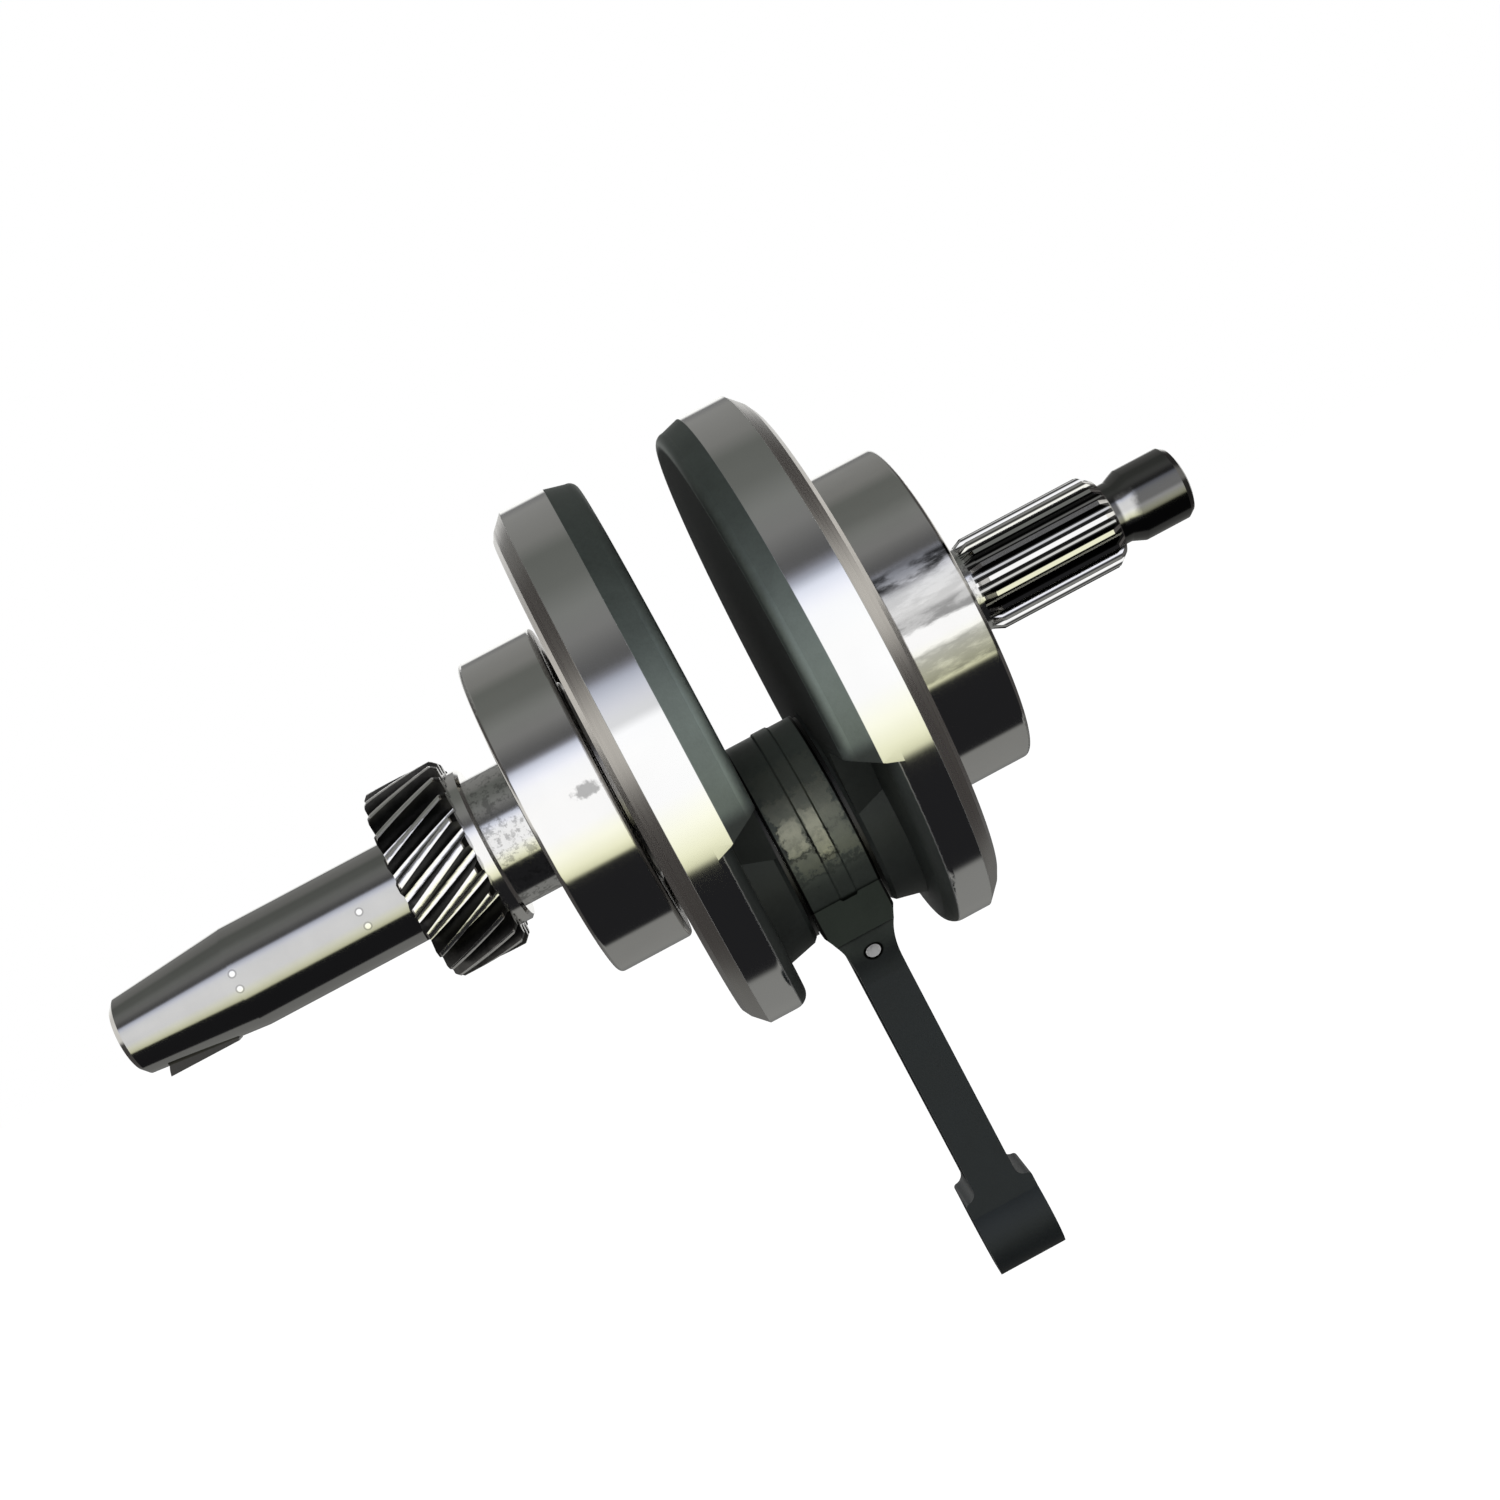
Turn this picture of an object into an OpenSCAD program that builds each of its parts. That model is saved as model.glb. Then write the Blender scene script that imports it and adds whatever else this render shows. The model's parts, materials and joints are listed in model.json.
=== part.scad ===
// Built-up single-cylinder crankshaft: two pressed crank halves on a crankpin, a needle big end,
// a forged connecting rod, a helical gear and two deep-groove ball main bearings.
// +X runs along the shaft towards the splines, +Z is up, and the rod hangs along -Z.
// The origin is the centre of the left main bearing.

/* [Crank throw and webs] */
// Distance from the main axis to the crankpin axis
throw = 27.5; // [24:0.5:30]
// Radius of the ground rim of both webs
web_r = 59.5; // [56:0.5:64]
// Distance from the mid-plane to the outer face of a web
web_face = 29.3; // [28.5:0.1:30]
// Distance from the mid-plane to the inner face of a web beside the crankpin
flange_face = 16; // [14.5:0.1:17]
// Distance from the mid-plane to the inner face of the left counterweight
left_weight_face = 8.8; // [8.8:0.05:11]
// Distance from the mid-plane to the inner face of the right counterweight
right_weight_face = 9.4; // [8.8:0.1:11]
// Distance from the mid-plane to the thrust face of a crankpin boss
boss_face = 8.75; // [8.75:0.05:9]
// Where the ground rim starts on the counterweight side, from the mid-plane
rim_start = 15.4; // [13:0.1:16]
// Where the machined bevel starts on the rim, from the mid-plane
bevel_start = 25.4; // [24:0.1:26.5]
// Radius of the crankpin boss at its thrust face
boss_r = 22.4; // [21:0.1:23]
// Radius of the crankpin boss where it meets the web
boss_root_r = 24; // [22.5:0.1:24.5]
// Drop of the counterweight's lower edge below the main axis, at its inner face
weight_drop = 13; // [8:0.5:15]

/* [Left shaft] */
// Radius of the shaft between the gear and the main bearing
seal_r = 14.5; // [14.2:0.1:16]
// Radius of the seat under the gear
gear_seat_r = 14; // [12.5:0.1:14]
// Radius of the straight shaft outside the gear
rotor_r = 11.3; // [10.5:0.1:12]
// Distance from the mid-plane to the left end
left_end = 143.6; // [138:0.1:150]
// Length of the rotor taper
taper_len = 27; // [20:0.5:32]
// Radius lost along each millimetre of the taper
taper_slope = 0.1; // [0.05:0.01:0.12]
// Radius of the tapped hole for the rotor bolt, at the tapping size
bolt_hole_r = 3.4; // [2.5:0.05:4]
// Depth of that hole
bolt_hole_len = 26; // [15:1:32]

/* [Right shaft] */
// Distance from the mid-plane to the start of the splines
spline_start = 54; // [52:0.5:58]
// Distance from the mid-plane to the end of the splines
spline_end = 86.2; // [80:0.1:87]
// Number of splines
spline_count = 19; // [18:1:26]
// Outer radius of the splines
spline_r = 10.5; // [10:0.1:11.5]
// Depth of the spline valleys
spline_depth = 1.25; // [0.9:0.05:1.5]
// Radius of the relief groove outside the splines
groove_r = 6.9; // [6:0.1:7.5]
// Radius of the end journal
journal_r = 8.15; // [7.5:0.05:9]
// Distance from the mid-plane to the right end
right_end = 103.6; // [98:0.1:110]
// Radius of the oil hole along the right shaft
oil_hole_r = 2; // [1:0.1:2.5]

/* [Main bearings] */
// Outside diameter of a main bearing
bearing_od = 72; // [70:0.5:74]
// Bore of a main bearing
bearing_bore = 35; // [34:0.5:37]
// Width of a main bearing
bearing_w = 17; // [15:0.5:17]
// Distance from the mid-plane to the near face of a main bearing
bearing_start = 31; // [30.5:0.1:32]
// Balls in each main bearing
ball_count = 9; // [7:1:9]
// Ball diameter
ball_d = 11.1; // [10:0.1:11.2]

/* [Helical gear] */
// Number of teeth
gear_teeth = 23; // [20:1:32]
// Outer radius of the gear
gear_r = 21.35; // [20:0.05:23]
// Normal module
gear_module = 1.55; // [1.2:0.05:1.6]
// Helix angle, in degrees
helix_angle = 25; // [10:1:30]
// Width of the toothed part
gear_w = 16.4; // [12:0.1:19]
// Distance from the mid-plane to the near face of the toothed part
gear_start = 61.2; // [60.3:0.1:61.5]
// Radius of the collar beside the teeth
collar_r = 17.4; // [15:0.1:17.5]

/* [Woodruff key] */
// Diameter of the disc that the key is cut from
key_d = 16; // [13:0.5:18]
// Key thickness
key_w = 4; // [3:0.5:5]
// Height of the key's flat top above the shaft axis
key_top = 11.05; // [10.9:0.05:11.3]
// Distance from the mid-plane to the middle of the key
key_mid = 131.4; // [128:0.1:134]

/* [Connecting rod] */
// Distance between the big-end and small-end axes
rod_len = 94.7; // [85:0.1:110]
// Outer radius of the big end
big_end_r = 22; // [21.5:0.1:22.5]
// Half of the big end's width
big_end_half = 7.9; // [7.7:0.05:7.95]
// Outer radius of the small end
small_end_r = 9.7; // [9.5:0.1:12]
// Half of the small end's width
small_end_half = 7.7; // [6:0.1:8.5]
// Radius of the small-end bore
pin_bore_r = 7; // [6:0.1:8]
// Half of the shank's thickness, as seen on its narrow side
shank_half = 4.9; // [4:0.1:5.5]
// Half of the shank's width at its big-end root
shank_root_half = 9.6; // [8.5:0.1:11]
// Half of the shank's width at the small end
shank_tip_half = 7.6; // [6.5:0.1:8.5]
// Depth of the I-beam pocket on each side
pocket_depth = 2.6; // [1.5:0.1:3.2]

/* [Big-end bearing] */
// Radius of the crankpin
crankpin_r = 15; // [13.5:0.1:15]
// Nominal needle diameter
needle_d = 4; // [3:0.5:4]
// Number of needles
needle_count = 16; // [12:1:18]
// Needle length
needle_len = 12; // [9:0.5:12]

/* [Hidden] */
$fn = 96;
over = 0.5;                                  // how far a cutter runs past what it cuts
clear = 0.1;                                 // how far a turned envelope stays off the teeth
run_gap = 0.02;                              // radial clearance of rolling elements
bearing_mid = bearing_start + bearing_w / 2; // mid-plane to the middle of a main bearing
seat_r = bearing_bore / 2;
race_pitch_r = (bearing_bore + bearing_od) / 4;
groove_round = 0.52 * ball_d;                // raceway groove radius
shoulder_in = race_pitch_r - 3.3;            // shoulder radius of an inner race
shoulder_out = race_pitch_r + 3.95;          // shoulder radius of an outer race
race_corner = 1.1;
hub_r = 21.5;                                // web shoulder that meets the inner race
bevel_r = web_r - 3.4;                       // rim bevel, before it rounds into the face
flange_corner = 3.2;                         // forged round on the web beside the crankpin
weight_corner = 2.2;                         // forged round on the counterweight's inner edge
weight_r = web_r - 1.1;                      // forged radius of the counterweight's inner edge
draft = 4;                                   // slope of the counterweight's lower edge
gear_end = gear_start + gear_w;
gear_turn = 13.5;                            // turns the teeth to the photograph's places
spline_turn = 5;                             // does the same for the splines
collar_start = 58.2;
shoulder_chamfer = 0.6;
key_centre_r = key_top + 1.5;                // the key is less than half a disc
spline_neck_r = spline_r - spline_depth + 0.15;
big_bore_r = crankpin_r + needle_d;
needle_pitch_r = crankpin_r + needle_d / 2;
washer_t = boss_face - big_end_half - 0.1;
shank_top = -34;                             // rod shank, measured from the crankpin axis
flare_top = -31.5;                           // where the narrow side starts to flare
shank_bottom = small_end_r - rod_len - 2;
gallery_r = 3.5;                             // oil space inside the crankpin
feed_x = 22;                                 // radial oil feed, from the mid-plane

// ---- Placing and turning ----

// Moves a shape drawn about the crank's mid-plane into the part's frame.
module from_bearing() {
    translate([bearing_mid, 0, 0]) children();
}

// Draws the left-hand twin of a right-hand shape.
module on_left() {
    mirror([1, 0, 0]) children();
}

// Turns a profile drawn as x along the shaft and y out from the axis.
module turned() {
    rotate([0, 90, 0]) rotate([0, 0, 180]) rotate_extrude() rotate(90) mirror([0, 1]) children();
}

// A round bar along the shaft, between two distances from the mid-plane.
module bar(x0, x1, r) {
    translate([x0, 0, 0]) rotate([0, 90, 0]) cylinder(r = r, h = x1 - x0);
}

// A rectangle with round corners, from one corner to the opposite one.
module round_box(low, high, r) {
    translate([low[0] + r, low[1]]) square([high[0] - low[0] - 2 * r, high[1] - low[1]]);
    translate([low[0], low[1] + r]) square([high[0] - low[0], high[1] - low[1] - 2 * r]);
    for (x = [low[0] + r, high[0] - r])
        for (y = [low[1] + r, high[1] - r])
            translate([x, y]) circle(r = r);
}

// Extrudes a side view, drawn as x and z, through the whole depth of the crank.
module through_y(depth) {
    translate([0, depth / 2, 0]) rotate([90, 0, 0]) linear_extrude(height = depth) children();
}

// Extrudes an end view, drawn as y and z, between two distances from the mid-plane.
module along_x(x0, x1) {
    translate([x0, 0, 0]) rotate([90, 0, 90]) linear_extrude(height = x1 - x0) children();
}

// ---- Crank webs, drawn for the right-hand side ----

// Full disc: forged inner corner, ground rim, machined bevel and the hub that meets the bearing.
module web_disc() {
    rim_low = flange_face + flange_corner;
    turned() {
        polygon([
            [flange_face, 0],
            [flange_face, web_r - flange_corner],
            [rim_low, web_r],
            [bevel_start, web_r],
            [bevel_start + 2.9, bevel_r + 0.4],
            [web_face, bevel_r - 1.4],
            [web_face, hub_r + 2],
            [web_face + 0.8, hub_r],
            [bearing_start, hub_r],
            [bearing_start, 0]
        ]);
        translate([rim_low, web_r - flange_corner]) circle(r = flange_corner);
    }
}

// Thick forged layer of the counterweight, cut off along a sloping lower edge.
module counterweight(weight_face) {
    intersection() {
        turned() {
            polygon([
                [weight_face, 0],
                [weight_face, weight_r - weight_corner],
                [weight_face + weight_corner, weight_r],
                [rim_start, web_r],
                [rim_start + 5, web_r],
                [rim_start + 5, 0]
            ]);
            translate([weight_face + weight_corner, weight_r - weight_corner])
                circle(r = weight_corner);
        }
        through_y(2 * web_r + 2)
            polygon([
                [weight_face - 1, web_r + 1],
                [weight_face - 1, -weight_drop],
                [weight_face, -weight_drop],
                [flange_face, -weight_drop - draft],
                [rim_start + 6, -weight_drop - draft - 2],
                [rim_start + 6, web_r + 1]
            ]);
    }
}

// Boss round the crankpin, with the neck that carries it up into the counterweight.
module crankpin_boss(weight_face) {
    face_chamfer = 0.9;
    translate([boss_face + face_chamfer, 0, -throw]) rotate([0, 90, 0])
        cylinder(r1 = boss_r, r2 = boss_root_r, h = flange_face - boss_face - face_chamfer + over);
    translate([boss_face, 0, -throw]) rotate([0, 90, 0])
        cylinder(r1 = boss_r - face_chamfer, r2 = boss_r, h = face_chamfer);
    along_x(weight_face, flange_face + over)
        polygon([
            [-boss_r, -throw],
            [boss_r, -throw],
            [boss_r + 9, -weight_drop + 1],
            [-boss_r - 9, -weight_drop + 1]
        ]);
}

// One web with its crankpin hole, ready for a shaft.
module web(weight_face) {
    difference() {
        union() {
            web_disc();
            counterweight(weight_face);
            crankpin_boss(weight_face);
        }
        translate([0, 0, -throw]) bar(boss_face - over, web_face, crankpin_r);
        translate([web_face - 1, 0, -throw]) rotate([0, 90, 0])
            cylinder(r1 = crankpin_r, r2 = crankpin_r + 1, h = 1);
    }
}

// ---- Crank halves: each is one forging, drawn as a web and a shaft that meet at the hub ----

module left_web() {
    color("dimgray") from_bearing() on_left() web(left_weight_face);
}

module left_shaft() {
    taper_end = left_end - taper_len;
    tip_r = rotor_r - taper_len * taper_slope;
    color("gray") from_bearing() on_left() difference() {
        turned() polygon([
            [bearing_start, 0],
            [bearing_start, seat_r],
            [bearing_start + bearing_w - shoulder_chamfer, seat_r],
            [bearing_start + bearing_w, seat_r - shoulder_chamfer],
            [bearing_start + bearing_w, seal_r],
            [collar_start, seal_r],
            [collar_start, gear_seat_r],
            [gear_end - shoulder_chamfer, gear_seat_r],
            [gear_end, gear_seat_r - shoulder_chamfer],
            [gear_end, rotor_r],
            [taper_end, rotor_r],
            [left_end - 1.3, tip_r + 1.3 * taper_slope],
            [left_end, tip_r - 1.2],
            [left_end, 0]
        ]);
        translate([left_end - bolt_hole_len, 0, 0]) rotate([0, 90, 0])
            cylinder(r = bolt_hole_r, h = bolt_hole_len + over);
        translate([left_end - 1.4, 0, 0]) rotate([0, 90, 0])
            cylinder(r1 = bolt_hole_r, r2 = bolt_hole_r + 1.6, h = 1.6);
        key_slot();
    }
}

// Slot that a round cutter leaves for the key.
module key_slot() {
    translate([key_mid, 0, -key_centre_r]) rotate([90, 0, 0])
        cylinder(r = key_d / 2, h = key_w, center = true);
}

module right_web() {
    color("dimgray") from_bearing() difference() {
        web(right_weight_face);
        bar(feed_x - oil_hole_r, bearing_start + over, oil_hole_r);
        translate([feed_x, 0, -crankpin_r]) cylinder(r = 1.6, h = crankpin_r);
    }
}

module right_shaft() {
    groove_x = spline_end + 1.2;
    color("gray") from_bearing() difference() {
        union() {
            turned() polygon([
                [bearing_start, 0],
                [bearing_start, seat_r],
                [bearing_start + bearing_w - shoulder_chamfer, seat_r],
                [bearing_start + bearing_w, seat_r - shoulder_chamfer],
                [bearing_start + bearing_w, 13],
                [bearing_start + bearing_w + 1.5, 13],
                [bearing_start + bearing_w + 2, 12.5],
                [bearing_start + bearing_w + 2, spline_neck_r],
                [spline_start + 2, spline_neck_r],
                [spline_start + 2, 0]
            ]);
            splines();
            turned() polygon([
                [spline_end - 1, 0],
                [spline_end - 1, groove_r],
                [groove_x + 1.5, groove_r],
                [groove_x + 4.4, journal_r],
                [right_end - 1.8, journal_r],
                [right_end - 0.5, journal_r - 0.9],
                [right_end, journal_r - 2],
                [right_end, 0]
            ]);
        }
        bar(bearing_start - over, right_end + over, oil_hole_r);
        translate([right_end - 1.5, 0, 0]) rotate([0, 90, 0])
            cylinder(r1 = oil_hole_r, r2 = oil_hole_r + 2, h = 2);
    }
}

// Straight-sided splines, bevelled at both ends so that their valleys fade into the neck.
module splines() {
    root_r = spline_r - spline_depth;
    step = 360 / spline_count;
    intersection() {
        along_x(spline_start - over, spline_end)
            rotate(spline_turn) polygon([for (i = [0 : spline_count - 1])
                for (corner = [[root_r, -0.36], [spline_r, -0.17], [spline_r, 0.17], [root_r, 0.36]])
                    corner[0] * [cos((i + corner[1]) * step), sin((i + corner[1]) * step)]]);
        turned() polygon([
            [spline_start - 0.4, 0],
            [spline_start - 0.4, root_r - clear],
            [spline_start + 2.8, spline_r + clear],
            [spline_end - 2.4, spline_r + clear],
            [spline_end, spline_r - 1.8],
            [spline_end, 0]
        ]);
    }
}

// ---- Crankpin, plugs and washers ----

module crankpin() {
    pin_half = web_face - 0.8;
    color("silver") from_bearing() translate([0, 0, -throw]) difference() {
        turned() polygon([
            [-pin_half, 0],
            [-pin_half, crankpin_r - 1],
            [-pin_half + 1, crankpin_r],
            [pin_half - 1, crankpin_r],
            [pin_half, crankpin_r - 1],
            [pin_half, 0]
        ]);
        bar(-web_face, web_face, gallery_r);
        cylinder(r = 1.5, h = crankpin_r + over);
        translate([feed_x, 0, 0]) cylinder(r = 1.6, h = crankpin_r + over);
    }
}

// Cup plugs that close both ends of the oil space in the crankpin.
module crankpin_plugs() {
    plug_out = web_face - 2.2;
    color("goldenrod") from_bearing() translate([0, 0, -throw])
        for (side = [0, 1])
            mirror([side, 0, 0]) difference() {
                bar(plug_out - 3.5, plug_out, gallery_r);
                bar(plug_out - 2.5, plug_out + over, gallery_r - 1);
            }
}

module thrust_washer() {
    translate([boss_face - washer_t, 0, -throw]) rotate([0, 90, 0]) difference() {
        cylinder(r = big_bore_r + 2.3, h = washer_t);
        translate([0, 0, -over]) cylinder(r = crankpin_r + 0.05, h = washer_t + 2 * over);
    }
}

module left_thrust_washer() {
    color("peru") from_bearing() on_left() thrust_washer();
}

module right_thrust_washer() {
    color("peru") from_bearing() thrust_washer();
}

// ---- Gear and key ----

// Outline of the helical gear, with straight-flanked teeth. It is drawn square to the shaft.
module gear_outline() {
    root_r = gear_r - 2.25 * gear_module;
    step = 360 / gear_teeth;
    corners = [[root_r, -0.35], [gear_r - 1.2 * gear_module, -0.24], [gear_r, -0.11],
        [gear_r, 0.11], [gear_r - 1.2 * gear_module, 0.24], [root_r, 0.35]];
    rotate(gear_turn)
        polygon([for (i = [0 : gear_teeth - 1])
            for (corner = corners)
                corner[0] * [cos((i + corner[1]) * step), sin((i + corner[1]) * step)]]);
}

module helical_gear() {
    pitch_r = gear_r - gear_module;
    twist_angle = gear_w * tan(helix_angle) / pitch_r * 180 / PI;
    tip_chamfer = 0.8;
    collar_side_chamfer = 1.3;
    color("slategray") from_bearing() difference() {
        union() {
            intersection() {
                translate([-gear_end, 0, 0]) rotate([0, 90, 0])
                    linear_extrude(height = gear_w, twist = twist_angle, slices = 6)
                        gear_outline();
                turned() polygon([
                    [-gear_end, 0],
                    [-gear_end, gear_r - tip_chamfer],
                    [-gear_end + tip_chamfer + clear, gear_r + clear],
                    [-gear_start - collar_side_chamfer - clear, gear_r + clear],
                    [-gear_start, gear_r - collar_side_chamfer],
                    [-gear_start, 0]
                ]);
            }
            turned() polygon([
                [-gear_start - 1, 0],
                [-gear_start - 1, collar_r],
                [-collar_start - 0.7, collar_r],
                [-collar_start, collar_r - 0.7],
                [-collar_start, 0]
            ]);
        }
        bar(-gear_end - over, -collar_start + over, gear_seat_r);
    }
}

module woodruff_key() {
    color("darkgray") from_bearing() on_left() intersection() {
        key_slot();
        translate([key_mid - key_d, -key_w, -key_top]) cube([2 * key_d, 2 * key_w, key_top]);
    }
}

// ---- Connecting rod, drawn about the crankpin axis ----

// Side of the rod as the shaft's end sees it: two eyes, a tapered shank and round shoulders.
module rod_face() {
    shoulder = 16;
    circle(r = big_end_r);
    translate([0, -rod_len]) circle(r = small_end_r);
    polygon([
        [-shank_root_half, -big_bore_r],
        [shank_root_half, -big_bore_r],
        [shank_root_half, shank_top],
        [shank_tip_half, -rod_len],
        [-shank_tip_half, -rod_len],
        [-shank_root_half, shank_top]
    ]);
    difference() {
        translate([-shank_root_half - 7, shank_top]) square([2 * shank_root_half + 14, 20]);
        for (side = [-1, 1])
            translate([side * (shank_root_half + shoulder), shank_top - 2]) circle(r = shoulder);
    }
}

// Narrow side of the rod, as the photograph shows it: wide eyes and a waisted shank.
module rod_edge() {
    flare = 23.6;
    fillet = 2.2;
    eye_top = small_end_r - rod_len;
    translate([-big_end_half, 2 - big_end_r]) square([2 * big_end_half, 2 * big_end_r]);
    translate([-shank_half, eye_top - 1]) square([2 * shank_half, -eye_top]);
    translate([0, -small_end_r - rod_len]) round_box([-small_end_half, 0],
        [small_end_half, 2 * small_end_r - 0.4], 0.8);
    difference() {
        translate([-big_end_half, flare_top]) square([2 * big_end_half, -flare_top - big_end_r + 3]);
        for (side = [-1, 1])
            translate([side * (shank_half + flare), flare_top]) circle(r = flare);
    }
    difference() {
        translate([-shank_half - fillet, eye_top - 1]) square([2 * (shank_half + fillet), fillet + 1]);
        for (side = [-1, 1])
            translate([side * (shank_half + fillet), eye_top + fillet - 0.4]) circle(r = fillet);
    }
}

// Long pocket with round ends that leaves the shank an I section.
module shank_pocket() {
    top_r = shank_root_half - 2.8;
    tip_r = shank_tip_half - 2.8;
    top_z = shank_top - 4;
    tip_z = shank_bottom + tip_r + 4;
    translate([0, top_z]) circle(r = top_r);
    translate([0, tip_z]) circle(r = tip_r);
    polygon([[-top_r, top_z], [top_r, top_z], [tip_r, tip_z], [-tip_r, tip_z]]);
}

module connecting_rod() {
    flash_half = 2;
    flash_mid = 0.6;                         // the ridge stands a little to the right
    oil_entry = [0, -12.5, -28.2];
    color("darkslategray") from_bearing() translate([0, 0, -throw]) difference() {
        union() {
            intersection() {
                along_x(-big_end_half, big_end_half) rod_face();
                through_y(3 * big_end_r) rod_edge();
            }
            translate([flash_mid, 0, 0]) turned() polygon([
                [-flash_half, 0],
                [-flash_half, big_end_r],
                [-flash_half + 0.4, big_end_r + 0.35],
                [flash_half - 0.4, big_end_r + 0.35],
                [flash_half, big_end_r],
                [flash_half, 0]
            ]);
        }
        bar(-big_end_half - over, big_end_half + over, big_bore_r);
        for (side = [0, 1])
            mirror([side, 0, 0]) {
                translate([big_end_half - 0.6, 0, 0]) rotate([0, 90, 0])
                    cylinder(r1 = big_bore_r, r2 = big_bore_r + 0.8, h = 0.8);
                along_x(shank_half - pocket_depth, big_end_half + over) shank_pocket();
                translate([small_end_half - 0.6, 0, -rod_len]) rotate([0, 90, 0])
                    cylinder(r1 = pin_bore_r, r2 = pin_bore_r + 0.8, h = 0.8);
            }
        translate([0, 0, -rod_len]) bar(-small_end_half - over, small_end_half + over, pin_bore_r);
        translate(oil_entry) rotate([-45, 0, 0]) cylinder(r = 1.55, h = 17);
    }
}

// ---- Needle big end ----

module big_end_cage() {
    cage_half = big_end_half - 0.3;
    slot_half = needle_len / 2 + 0.1;
    slot_w = needle_d + 0.1;
    color("gainsboro") from_bearing() translate([0, 0, -throw]) difference() {
        bar(-cage_half, cage_half, big_bore_r - 0.5);
        bar(-cage_half - over, cage_half + over, crankpin_r + 0.5);
        for (i = [0 : needle_count - 1])
            rotate([i * 360 / needle_count, 0, 0])
                translate([-slot_half, -slot_w / 2, crankpin_r]) cube([2 * slot_half, slot_w, needle_d]);
    }
}

module big_end_needles() {
    color("silver") from_bearing() translate([0, 0, -throw])
        for (i = [0 : needle_count - 1])
            rotate([i * 360 / needle_count, 0, 0]) translate([0, 0, needle_pitch_r])
                bar(-needle_len / 2, needle_len / 2, needle_d / 2 - run_gap);
}

// ---- Ball main bearings, drawn about the bearing's own middle ----

module outer_race() {
    groove_c = race_pitch_r + ball_d / 2 + run_gap - groove_round;
    turned() difference() {
        round_box([-bearing_w / 2, shoulder_out], [bearing_w / 2, bearing_od / 2], race_corner);
        translate([0, groove_c]) circle(r = groove_round);
    }
}

module inner_race() {
    groove_c = race_pitch_r - ball_d / 2 - run_gap + groove_round;
    turned() difference() {
        round_box([-bearing_w / 2, seat_r], [bearing_w / 2, shoulder_in], 0.8);
        translate([0, groove_c]) circle(r = groove_round);
    }
}

// Puts a copy at every ball, or midway between balls.
module round_the_race(offset_steps) {
    for (i = [0 : ball_count - 1])
        rotate([(i + offset_steps) * 360 / ball_count, 0, 0])
            translate([0, 0, race_pitch_r]) children();
}

module balls() {
    round_the_race(0) sphere(r = ball_d / 2);
}

// Pressed half of a ribbon cage: flat between the balls and bulging round each one.
module cage_half() {
    sheet = 0.9;
    pocket_r = ball_d / 2 + 0.1;
    difference() {
        intersection() {
            union() {
                bar(0, sheet, race_pitch_r + 2.6);
                round_the_race(0) sphere(r = pocket_r + sheet);
            }
            difference() {
                bar(0, bearing_w / 2, race_pitch_r + 2.4);
                bar(-over, bearing_w / 2 + over, race_pitch_r - 2.4);
            }
        }
        round_the_race(0) sphere(r = pocket_r);
        round_the_race(0.5) rotate([0, 90, 0])
            cylinder(r = 0.9, h = 4 * sheet, center = true, $fn = 24);
    }
}

module cage_rivets() {
    sheet = 0.9;
    round_the_race(0.5) {
        bar(-sheet, sheet, 0.9, $fn = 24);
        for (side = [0, 1])
            mirror([side, 0, 0]) translate([sheet, 0, 0]) rotate([0, 90, 0])
                cylinder(r1 = 1.5, r2 = 0.9, h = 0.6, $fn = 24);
    }
}

module at_left_bearing() {
    children();
}

module at_right_bearing() {
    translate([2 * bearing_mid, 0, 0]) mirror([1, 0, 0]) children();
}

module left_outer_race() {
    color("lightsteelblue") at_left_bearing() outer_race();
}

module left_inner_race() {
    color("lightsteelblue") at_left_bearing() inner_race();
}

module left_balls() {
    color("white") at_left_bearing() balls();
}

module left_inboard_cage() {
    color("khaki") at_left_bearing() cage_half();
}

module left_outboard_cage() {
    color("khaki") at_left_bearing() mirror([1, 0, 0]) cage_half();
}

module left_cage_rivets() {
    color("tan") at_left_bearing() cage_rivets();
}

module right_outer_race() {
    color("lightsteelblue") at_right_bearing() outer_race();
}

module right_inner_race() {
    color("lightsteelblue") at_right_bearing() inner_race();
}

module right_balls() {
    color("white") at_right_bearing() balls();
}

module right_inboard_cage() {
    color("khaki") at_right_bearing() cage_half();
}

module right_outboard_cage() {
    color("khaki") at_right_bearing() mirror([1, 0, 0]) cage_half();
}

module right_cage_rivets() {
    color("tan") at_right_bearing() cage_rivets();
}

left_web();
left_shaft();
right_web();
right_shaft();
crankpin();
crankpin_plugs();
helical_gear();
woodruff_key();
left_thrust_washer();
right_thrust_washer();
connecting_rod();
big_end_cage();
big_end_needles();
left_outer_race();
left_inner_race();
left_balls();
left_inboard_cage();
left_outboard_cage();
left_cage_rivets();
right_outer_race();
right_inner_race();
right_balls();
right_inboard_cage();
right_outboard_cage();
right_cage_rivets();
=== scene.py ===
# %% [markdown]
# # A crankshaft with its rod and main bearings
#
# The part is the crankshaft of a small single-cylinder engine. Two forged crank halves are pressed
# onto a crankpin, a dark forged rod hangs from the pin, and a ball bearing sits outside each web.
# All of it is metal with a firm shape, so the solids come ready from the CAD model, and this
# lesson is about finishes: what was forged and left dark, what was turned, and what was ground
# bright. The first cell loads the imported model as a fixed frame.

# %% Load the frame
import bmesh
import bpy
import json
import math
from mathutils import Matrix, Vector
from mathutils.bvhtree import BVHTree


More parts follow.
